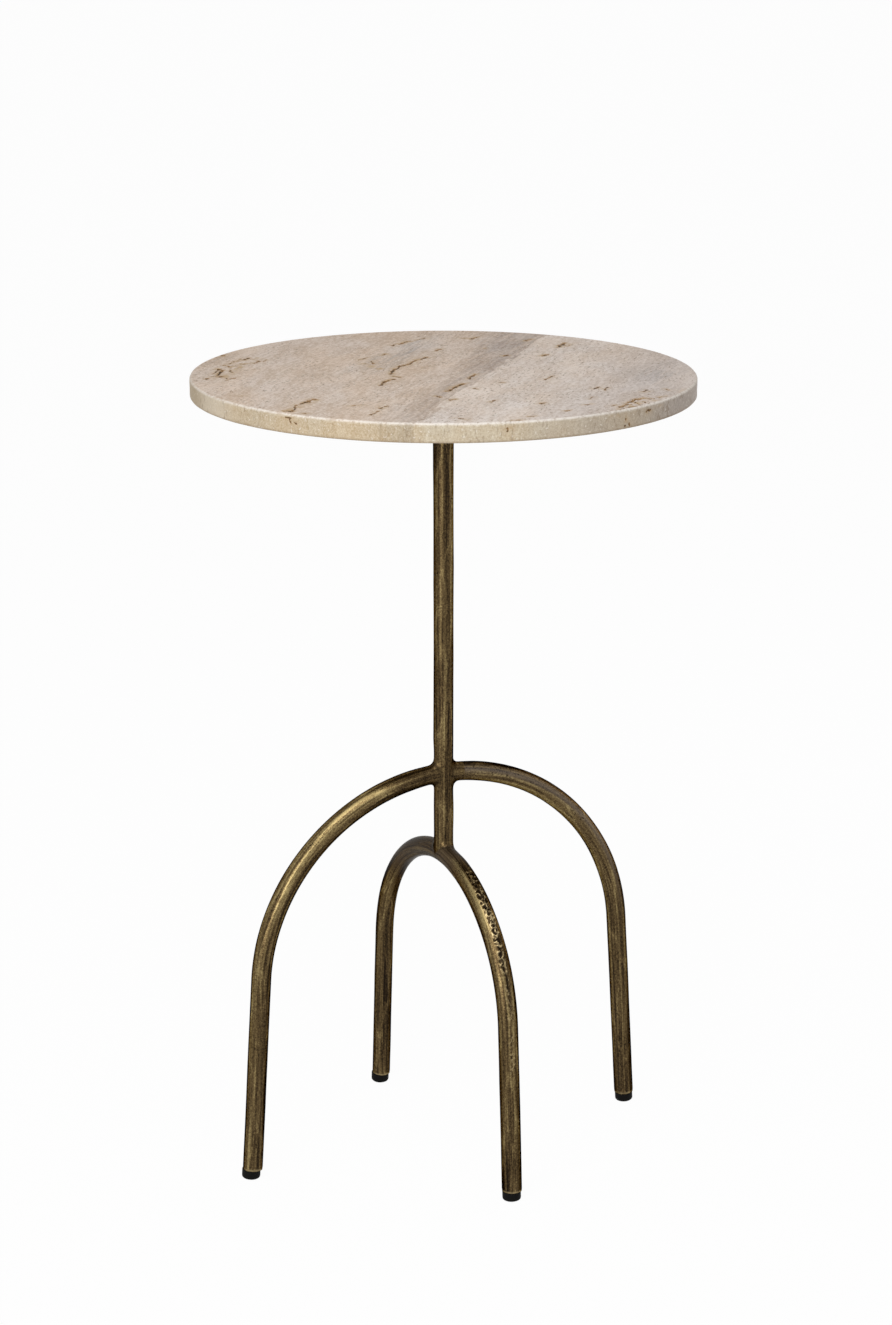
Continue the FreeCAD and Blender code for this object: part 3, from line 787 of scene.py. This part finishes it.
add_tube(
    "post", POST, POST_START, POST_TOP, POST_SEED,
    (LOWER_ARCH.crown, UPPER_ARCH.crown), post_painted_light,
    swell=lambda height: POST_FLARE * rise(0.57, 0.64, height),
)
add_tube(
    "upper_leg_right", UPPER_ARCH, LEG_START, UPPER_ARCH.length, RIGHT_SEED,
    (0,), right_leg_painted_light, (UPPER_ARCH.length,), dust=right_leg_dust_and_sheen,
)
add_tube(
    "upper_leg_left", UPPER_ARCH, -LEG_START, -UPPER_ARCH.length, LEFT_SEED,
    (0,), left_leg_painted_light, (-UPPER_ARCH.length,),
)
add_tube(
    "lower_arch", LOWER_ARCH, -LOWER_ARCH.length, LOWER_ARCH.length, LOWER_SEED,
    (0,), lower_arch_painted_light, (-LOWER_ARCH.length, LOWER_ARCH.length), FINE_AROUND, FINE_STEP,
    swell=lambda run: -BACK_LEG_THINNING * rise(0.05, 0.12, run),
    pits=front_leg_pits,
    matte=lower_arch_matte,
)

# Blends where the tubes meet

BLEND_RUN = 0.0165
BLEND_TURN = 1.72
BLEND_SOFTNESS = 0.0065
COLLAR_DEPTH = 0.0012
COLLAR_LIFT = 0.000012
COLLAR_SINK = 0.00003
BLEND_AROUND = 80
BLEND_STEPS = 22
# strength of the painted shade in the creases of the upper and lower joints
UPPER_CREASE_SHADE = 0.72
LOWER_CREASE_SHADE = 0.20


def add_blend(
    name, node, trunk, trunk_seed, branch, branch_seed, ring_of_trunk, ring_of_branch, darkness, matte,
):
    """Closed collar whose outside runs smoothly from a branch tube onto the trunk tube it meets."""

    def field(point):
        """Distance from the blended tubes, share of their creases, where shade is painted, and whether the
        trunk is nearer.
        """
        near_trunk, away_trunk = trunk.distance(point)
        near_branch, away_branch = branch.distance(point)
        cross = 1 - away_trunk.dot(away_branch) ** 2
        reach = BLEND_SOFTNESS * cross + 1e-6
        share = max(reach - abs(near_trunk - near_branch), 0) / reach
        distance = min(near_trunk, near_branch) - share * share * reach / 4
        return distance, cross * rise(0.35, 1, share), near_trunk < near_branch

    def slope(point):
        small = 2e-5
        return Vector([
            field(point + axis * small)[0] - field(point - axis * small)[0]
            for axis in (X_AXIS, Y_AXIS, UP)
        ]) / (2 * small)

    outside = []
    inside = []
    crease_shades = []
    straights = []
    tones = []
    mattes = []
    for step in range(BLEND_STEPS + 1):
        for spot in range(BLEND_AROUND):
            angle = 2 * math.pi * spot / BLEND_AROUND
            point = ring_of_branch(angle).lerp(ring_of_trunk(angle), step / BLEND_STEPS)
            for _ in range(12):
                away = slope(point)
                point = point - away * (field(point)[0] / max(away.length_squared, 0.05))
            away = slope(point).normalized()
            lift = -COLLAR_SINK if step in (0, BLEND_STEPS) else COLLAR_LIFT
            outside.append(point + away * lift)
            inside.append(point - away * COLLAR_DEPTH)
            _, crease_shade, on_trunk = field(point)
            straight = (trunk if on_trunk else branch).straightened(point)
            seed = trunk_seed if on_trunk else branch_seed
            # painted shade in the creases where the tubes meet
            crease_shades.append(darkness * crease_shade)
            straights.append(straight + UP * seed)
            tones.append(hammer_mark(straight, seed)[2])
            mattes.append(matte if on_trunk else 0.0)
    inside_turned = []
    for ring in range(BLEND_STEPS, -1, -1):
        inside_turned += inside[ring * BLEND_AROUND:(ring + 1) * BLEND_AROUND]
    points = outside + inside_turned
    hidden = [0.0] * len(inside_turned)
    values = {
        "straight": straights + inside_turned,
        "tone": tones + hidden,
        "crease_shade": crease_shades + hidden,
        "matte": mattes + hidden,
    }
    for key in ("ridge_highlight", "pit", "rim", "painted_light", "dust"):
        values[key] = [0.0] * len(points)
    faces = skin(2 * (BLEND_STEPS + 1), BLEND_AROUND, looped=True)
    add_piece(name, points, faces, brass, node, values)


def add_upper_blend(side_name, sign, leg_seed):
    def on_post(angle):
        turn = BLEND_TURN * math.sin(angle)
        return Vector((
            sign * TUBE_RADIUS * math.cos(turn),
            TUBE_RADIUS * math.sin(turn),
            UPPER_ARCH.crown + BLEND_RUN * math.cos(angle),
        ))

    def on_leg(angle):
        return UPPER_ARCH.surface(sign * BLEND_RUN, angle)

    add_blend(
        f"upper_blend_{side_name}", f"upper_weld_{side_name}", POST, POST_SEED, UPPER_ARCH, leg_seed,
        on_post, on_leg, UPPER_CREASE_SHADE, 0.0,
    )


def add_lower_blend():
    def on_arch(angle):
        return LOWER_ARCH.surface(BLEND_RUN * math.sin(angle), BLEND_TURN * math.cos(angle))

    def on_post(angle):
        return POST.surface(LOWER_ARCH.crown + BLEND_RUN, angle)

    add_blend(
        "lower_blend", "lower_weld", LOWER_ARCH, LOWER_SEED, POST, POST_SEED,
        on_arch, on_post, LOWER_CREASE_SHADE, CROWN_MATTE,
    )


add_upper_blend("right", 1, RIGHT_SEED)
add_upper_blend("left", -1, LEFT_SEED)
add_lower_blend()

# Stone top

HAIR = 0.0015
CRACK = 0.0024
HOLE = 0.0033
VEIN = 0.0044
OCHRE_SPOT = 0.0040
CRACK_DEPTH = 0.35
HALO_REACH = 0.0065
CELL = 0.003
TOP_CELLS = 190
RIM_WAVE = 0.00016
FINE_REACHES = (0.0045, 0.0035)
TINY = 1e-5
SIDE_TOP = TOP_HEIGHT - TOP_EDGE_ROUND
SIDE_FOOT = TOP_HEIGHT - TOP_THICKNESS + UNDER_EDGE_ROUND
LIT_EDGE_SIDE = Vector((-0.43, -0.90, 0))

# Cracks and holes of the top: a width, and the pixels of the photograph along each that has it
CRACKS = [
    (HOLE, [(381, 385), (386, 381), (390, 380), (395, 379)]),
    (CRACK, [(392, 376), (398, 377)], [(391, 374), (392, 371), (396, 369), (401, 366), (409, 364)],
     [(409, 364), (416, 360), (421, 359), (427, 357)], [(436, 351), (441, 349)],
     [(393, 346), (395, 344), (400, 344), (404, 342), (410, 341)], [(364, 364), (367, 364)]),
    (HAIR, [(359, 360), (363, 359), (368, 357)]),
    (CRACK, [(382, 355), (386, 354)]),
    (HAIR, [(377, 369), (381, 369)], [(371, 361), (374, 364)]),
    (HOLE, [(448, 391), (454, 387), (460, 385), (465, 383)]),
    (CRACK, [(470, 379), (472, 376), (476, 374)], [(436, 396), (441, 397)], [(451, 400), (456, 399)]),
    (HAIR, [(501, 382), (505, 383)], [(352, 406), (361, 405)]),
    (CRACK, [(381, 408), (386, 406)]),
    (HAIR, [(371, 415), (379, 411)], [(457, 418), (466, 419)]),
    (CRACK, [(471, 339), (478, 337)], [(504, 356), (507, 355)]),
    (HOLE, [(206, 379), (209, 378)]),
    (HAIR, [(211, 376), (219, 377)]),
    (HOLE, [(218, 369), (221, 370), (223, 370)], [(222, 371), (220, 373), (217, 375)],
     [(220, 377), (223, 376), (225, 376)]),
    (HAIR, [(214, 374), (216, 371)], [(227, 378), (228, 379)]),
    (CRACK, [(231, 379), (234, 378)], [(228, 364), (231, 363)], [(224, 365), (227, 366), (231, 367)]),
    (HAIR, [(232, 366), (238, 366)], [(229, 370), (232, 372)], [(233, 362), (238, 361)]),
    (CRACK, [(239, 368), (242, 368)]),
    (HAIR, [(239, 360), (242, 359)]),
    (CRACK, [(240, 364), (245, 364), (250, 364)]),
    (HAIR, [(250, 364), (254, 363)]),
    (CRACK, [(255, 363), (259, 361)], [(245, 360), (248, 358)], [(251, 359), (256, 358), (258, 358)]),
    (HAIR, [(263, 361), (266, 360)]),
    (CRACK, [(222, 356), (224, 355)]),
    (HAIR, [(225, 381), (229, 380)], [(239, 396), (243, 396)]),
    (CRACK, [(285, 411), (290, 411)]),
    (HOLE, [(291, 411), (295, 409)]),
    (HAIR, [(295, 409), (294, 407), (297, 405)], [(297, 405), (301, 404), (304, 403)]),
    (HOLE, [(306, 402), (308, 401), (311, 400)]),
    (CRACK, [(312, 399), (317, 400)]),
    (HAIR, [(303, 414), (306, 413)]),
    (CRACK, [(558, 347), (560, 345)]),
    (HOLE, [(562, 345), (565, 343)]),
    (CRACK, [(566, 346), (569, 345)], [(543, 356), (548, 354)]),
    (HAIR, [(544, 380), (548, 378), (554, 376)], [(594, 389), (599, 387)], [(604, 390), (607, 387)]),
    (CRACK, [(566, 411), (571, 410)], [(541, 404), (544, 403)]),
    (HAIR, [(612, 406), (616, 405)]),
    (HOLE, [(616, 413), (620, 410), (624, 409)], [(621, 407), (625, 405), (630, 404)]),
    (VEIN, [(627, 403), (631, 402), (633, 401)]),
    (HOLE, [(633, 401), (636, 399), (639, 399)], [(639, 399), (643, 398), (648, 398)]),
    (HAIR, [(649, 399), (655, 398)], [(656, 398), (667, 396)]),
    (CRACK, [(627, 407), (631, 407), (636, 406)]),
    (HAIR, [(637, 402), (640, 405)], [(644, 402), (645, 403)], [(658, 402), (662, 400)],
     [(590, 399), (593, 397)], [(585, 405), (590, 404)], [(643, 392), (648, 390)],
     [(665, 389), (670, 390)], [(683, 392), (688, 389)], [(528, 416), (534, 416)]),
    (CRACK, [(513, 421), (521, 420)]),
    (HAIR, [(473, 388), (477, 389)], [(491, 402), (495, 400)]),
    (CRACK, [(461, 338), (464, 338)], [(526, 341), (530, 339)]),
    (HAIR, [(484, 349), (487, 348)], [(416, 340), (425, 338)]),
]

# Pixels of the photograph along each fine pit of the stone's side
SIDE_PITS = [
    [(288, 417), (290, 418)], [(289, 420), (290, 422)], [(285, 416), (286, 417)],
    [(294, 423), (295, 424)], [(626, 426), (629, 428)], [(629, 424), (630, 425)],
    [(625, 419), (626, 421)], [(647, 411), (650, 410)], [(679, 415), (681, 414)],
    [(363, 421), (365, 423)], [(508, 428), (509, 431)], [(232, 404), (233, 406)],
]

# Ochre spots and stains of the top
STAINS = [
    [(558, 347), (560, 345), (565, 343), (569, 345)],
    [(543, 356), (548, 354)],
    [(219, 371), (224, 377), (232, 373), (243, 366)],
    [(381, 385), (392, 379)],
    [(615, 412), (630, 405), (645, 402), (660, 401)],
    [(360, 363), (368, 365), (379, 369)],
    [(286, 412), (300, 406), (314, 401)],
]

# Cool grey patches of the top: pixel of the middle, half length and half width along the bands, share
COOL_PATCHES = [
    ((408, 350), 0.070, 0.013, 0.92),
    ((372, 362), 0.045, 0.010, 0.45),
    ((662, 374), 0.040, 0.018, 0.80),
    ((512, 347), 0.050, 0.012, 0.15),
    ((213, 362), 0.045, 0.012, 0.35),
]


class CrackMap:
    """Finds how near a place of the top is to the cracks."""

    def __init__(self):
        self.cells = {}
        reach = int(2 * HALO_REACH / CELL) + 1
        strokes = [(width, map(on_top, pixels), False) for width, *lines in CRACKS for pixels in lines]
        strokes += [(HAIR, map(on_side, pixels), False) for pixels in SIDE_PITS]
        strokes += [(OCHRE_SPOT, map(on_top, pixels), True) for pixels in STAINS]
        for width, places, is_stain in strokes:
            line = list(places)
            for first, second in zip(line, line[1:]):
                count = int((second - first).length / CELL) + 1
                touched = set()
                for dot in range(count + 1):
                    column, row = self.cell_of(first.lerp(second, dot / count))
                    for right in range(-reach, reach + 1):
                        touched.update((column + right, row + back) for back in range(-reach, reach + 1))
                for cell in touched:
                    self.cells.setdefault(cell, []).append((first, second, width, is_stain))

    def cell_of(self, place):
        return round(place.x / CELL), round(place.y / CELL)

    def is_near(self, place, reach):
        for first, second, _, is_stain in self.cells.get(self.cell_of(place), []):
            if not is_stain and self.gap(place, first, second) < reach:
                return True
        return False

    def gap(self, place, first, second):
        line = second - first
        share = min(max((place - first).dot(line) / line.length_squared, 0), 1)
        return (place - first - line * share).length

    def read(self, place):
        """Share of a crack's depth, its depth in metres and the share of the brown halo around it."""
        nearby = self.cells.get(self.cell_of(place), [])
        if not nearby:
            return 0.0, 0.0, 0.0
        wander = noise.noise_vector(place * 170) * 0.0016 + noise.noise_vector(place * 620) * 0.0008
        here = place + Vector((wander.x, wander.y, 0))
        fullness = 0.45 + 0.55 * rise(-0.35, 0.35, noise.noise(place * 210 + UP * 3))
        fullness *= 1 + 0.9 * noise.noise(place * 780 + UP * 5)
        pit = 0.0
        depth = 0.0
        halo = 0.0
        for first, second, width, is_stain in nearby:
            gap = self.gap(here, first, second)
            if is_stain:
                halo = max(halo, 1 - rise(0.4, 1.6, gap / width))
                continue
            inside = 1 - rise(0.45, 1.0, gap / (width * fullness))
            if inside > pit:
                pit = inside
                depth = CRACK_DEPTH * width
            halo = max(halo, (1 - rise(0.1, 1.0, gap / HALO_REACH)) * min(width / CRACK, 1))
        return pit, depth, halo * rise(-0.5, 0.4, noise.noise(place * 260))


def cool_share(place):
    """Share of the cool grey patches at a place of the top."""
    found = 0.0
    for pixel, half_length, half_width, share in COOL_PATCHES:
        offset = place - on_top(pixel)
        lengthwise = bell(offset.dot(ALONG_BANDS) / half_length)
        crosswise = bell(offset.dot(ACROSS_BANDS) / half_width)
        found = max(found, share * lengthwise * crosswise)
    return found


def stone_profile():
    """Radius and height of the rings from the flat top over the rounded edge, down and under."""
    rings = []
    for step in range(1, 7):
        turn = math.pi / 2 * step / 6
        drop = TOP_EDGE_ROUND * (1 - math.cos(turn))
        rings.append((FLAT_RADIUS + TOP_EDGE_ROUND * math.sin(turn), TOP_HEIGHT - drop))
    for step in range(1, 10):
        rings.append((TOP_RADIUS, SIDE_TOP + (SIDE_FOOT - SIDE_TOP) * step / 9))
    for step in range(1, 5):
        turn = math.pi / 2 * step / 4
        inset = UNDER_EDGE_ROUND * (1 - math.cos(turn))
        rings.append((TOP_RADIUS - inset, SIDE_FOOT - UNDER_EDGE_ROUND * math.sin(turn)))
    return rings


def stone_grid(editable):
    """Quads over the flat top, and the points of its rim in order."""
    grid = []
    for row in range(TOP_CELLS + 1):
        v = 2 * row / TOP_CELLS - 1
        line = []
        for column in range(TOP_CELLS + 1):
            u = 2 * column / TOP_CELLS - 1
            x = u * math.sqrt(1 - v * v / 2) * FLAT_RADIUS
            y = v * math.sqrt(1 - u * u / 2) * FLAT_RADIUS
            line.append(editable.verts.new((x, y, TOP_HEIGHT)))
        grid.append(line)
    for here, there in zip(grid, grid[1:]):
        for column in range(TOP_CELLS):
            editable.faces.new((here[column], here[column + 1], there[column + 1], there[column]))
    rim = grid[0][:-1]
    rim += [line[-1] for line in grid[:-1]]
    rim += grid[-1][:0:-1]
    rim += [line[0] for line in grid[:0:-1]]
    return rim


def stone_body(editable):
    """Closed skin of the slab, with a slightly wavy rim."""
    before = stone_grid(editable)
    count = len(before)
    outward = [Vector((vert.co.x, vert.co.y, 0)).normalized() for vert in before]
    for radius, height in stone_profile():
        ring = []
        for direction in outward:
            wobble = RIM_WAVE * noise.noise(direction * TOP_RADIUS * 110 + UP * height * 150)
            place = direction * (radius + wobble) + UP * height
            ring.append(editable.verts.new(place))
        for spot in range(count):
            after = (spot + 1) % count
            editable.faces.new((before[spot], ring[spot], ring[after], before[after]))
        before = ring
    centre = editable.verts.new((0, 0, TOP_HEIGHT - TOP_THICKNESS))
    for spot in range(count):
        editable.faces.new((before[spot], centre, before[(spot + 1) % count]))


def is_upright(place):
    """Whether a place is on the upright part of the stone's side."""
    return SIDE_FOOT + TINY < place.z < SIDE_TOP - TINY


def refine_near_cracks(editable, cracks):
    """Splits the faces near the cracks and pits, finer towards their middle."""
    for reach in FINE_REACHES:
        near = []
        for edge in editable.edges:
            first, second = (vert.co for vert in edge.verts)
            is_flat = min(first.z, second.z) > TOP_HEIGHT - TINY
            is_inside = max(first.xy.length, second.xy.length) < FLAT_RADIUS - TINY
            is_open = is_flat and is_inside or is_upright(first) and is_upright(second)
            if is_open and cracks.is_near((first + second) / 2, reach):
                near.append(edge)
        bmesh.ops.subdivide_edges(editable, edges=near, cuts=1, use_grid_fill=True, use_single_edge=True)
    many_sided = [face for face in editable.faces if len(face.verts) > 4]
    bmesh.ops.poke(editable, faces=many_sided)


def add_stone():
    """The slab, with its cracks and pits sunk in and marked for the material."""
    editable = bmesh.new()
    stone_body(editable)
    cracks = CrackMap()
    refine_near_cracks(editable, cracks)
    layers = {}
    for key in ("pit", "halo", "cool", "side", "edge", "dark_edge_and_shade"):
        layers[key] = editable.verts.layers.float.new(key)
    for vert in editable.verts:
        drop = (TOP_HEIGHT - vert.co.z) / TOP_EDGE_ROUND
        edge = plateau(-0.05, 0.2, 0.3, 1.2, drop)
        # the front half of the top edge is marked for a painted highlight and the back half for painted
        # shade; the under edge is marked for a darker brown line
        front_lit = rise(-0.5, 0.4, vert.co.normalized().dot(LIT_EDGE_SIDE))
        above = vert.co.z - (TOP_HEIGHT - TOP_THICKNESS)
        vert[layers["side"]] = rise(0.2, 1, drop)
        vert[layers["edge"]] = edge * front_lit
        vert[layers["dark_edge_and_shade"]] = max(edge * (1 - front_lit), 1 - rise(0.4, 1.8, above / UNDER_EDGE_ROUND))
        vert[layers["cool"]] = cool_share(vert.co)
        if drop < 0.001 or is_upright(vert.co):
            pit, depth, halo = cracks.read(vert.co.copy())
            vert[layers["pit"]] = pit
            vert[layers["halo"]] = halo
            if is_upright(vert.co):
                vert.co.xy *= 1 - pit * depth / TOP_RADIUS
            else:
                vert.co.z -= pit * depth * rise(0, 0.003, FLAT_RADIUS - vert.co.xy.length)
    place_piece("stone_slab", editable, travertine, "stone_top")


add_stone()

# Feet

FOOT_AROUND = 56


def add_foot(node, arch, side, shift):
    """Push-in glide: a moulded head with a rounded foot edge, shifted sideways from the tube's middle by
    the given amount.
    """
    end, _ = arch.at(side * arch.length)
    before_end, _ = arch.at(side * (arch.length - 0.01))
    onward = (end - before_end).normalized()
    third = onward.cross(arch.across)
    profile = [(FOOT_RADIUS - 0.0006, -0.0002), (FOOT_RADIUS - 0.0001, 0.0002)]
    straight_part = FOOT_HEIGHT - FOOT_EDGE_ROUND
    for step in range(1, 6):
        profile.append((FOOT_RADIUS, straight_part * step / 6))
    for step in range(9):
        turn = math.pi / 2 * step / 8
        inset = FOOT_EDGE_ROUND * (1 - math.cos(turn))
        profile.append((FOOT_RADIUS - inset, straight_part + FOOT_EDGE_ROUND * math.sin(turn)))
    points = []
    for radius, run in profile:
        for spot in range(FOOT_AROUND):
            angle = 2 * math.pi * spot / FOOT_AROUND
            place = end + PHOTO_RIGHT * shift + onward * run
            place += (arch.across * math.cos(angle) + third * math.sin(angle)) * radius
            place.z = max(place.z, 0)
            points.append(place)
    faces = closed_skin(len(profile), FOOT_AROUND)
    add_piece(f"{node}_glide", points, faces, rubber, node, {})


add_foot("foot_right", UPPER_ARCH, 1, 0.0)
add_foot("foot_left", UPPER_ARCH, -1, -0.0011)
add_foot("foot_back", LOWER_ARCH, 1, -0.0009)
add_foot("foot_front", LOWER_ARCH, -1, -0.0004)

# Floor, light and camera

FLOOR_REACH = 40
FLOOR_DROP = 0.0003
FLOOR_WHITE_SHARE = 0.97
WORLD_LIGHT = 0.3


def make_floor():
    graph = Graph(bpy.data.materials.new("white_floor"))
    plain = graph.node("BsdfDiffuse", {"Color": (0.85, 0.85, 0.85)})
    white = graph.node("Emission", {"Color": (1, 1, 1), "Strength": 1.0})
    share = graph.product(graph.is_looked_at(), FLOOR_WHITE_SHARE)
    graph.surface(graph.node("MixShader", {0: share, 1: plain.outputs[0], 2: white.outputs[0]}))
    graph.owner.cycles.emission_sampling = "NONE"
    corners = [(-1, -1), (1, -1), (1, 1), (-1, 1)]
    points = [(x * FLOOR_REACH, y * FLOOR_REACH, -FLOOR_DROP) for x, y in corners]
    mesh = bpy.data.meshes.new("floor")
    mesh.from_pydata(points, [], [(0, 1, 2, 3)])
    mesh.materials.append(graph.owner)
    add_object("floor", mesh)


def add_lamp(name, place, target, width, height, energy):
    lamp = bpy.data.lights.new(name, "AREA")
    lamp.shape = "RECTANGLE"
    lamp.size = width
    lamp.size_y = height
    lamp.energy = energy
    holder = add_object(name, lamp)
    holder.location = place
    holder.rotation_euler = (Vector(target) - Vector(place)).to_track_quat("-Z", "Y").to_euler()
    holder.visible_camera = False


def make_world():
    """White surroundings to look at, which light the table only faintly."""
    world = bpy.data.worlds.new("studio")
    scene.world = world
    graph = Graph(world, "OutputWorld")
    strength = graph.blend(graph.is_looked_at(), WORLD_LIGHT, 1.0)
    graph.surface(graph.node("Background", {"Color": (1, 1, 1), "Strength": strength}))


def make_camera():
    lens = bpy.data.cameras.new("photo_camera")
    lens.sensor_width = SENSOR_MM
    lens.lens = FOCAL_PIXELS * SENSOR_MM / PHOTO_HEIGHT
    holder = add_object("photo_camera", lens)
    holder.location = CAMERA_PLACE
    holder.rotation_euler = VIEW_ROTATION.to_euler()
    bpy.context.scene.camera = holder


make_floor()
make_world()
make_camera()
add_lamp("left_lamp", (-1.70, -1.40, 0.90), (0, 0, 0.45), 1.0, 1.7, 16)
add_lamp("right_lamp", (2.10, 0.20, 0.90), (0, 0, 0.45), 0.8, 1.7, 9)
add_lamp("top_lamp", (-0.75, -1.20, 2.6), (0, 0, 0.6), 1.8, 1.8, 33.5)
bpy.context.scene.view_settings.view_transform = "Standard"
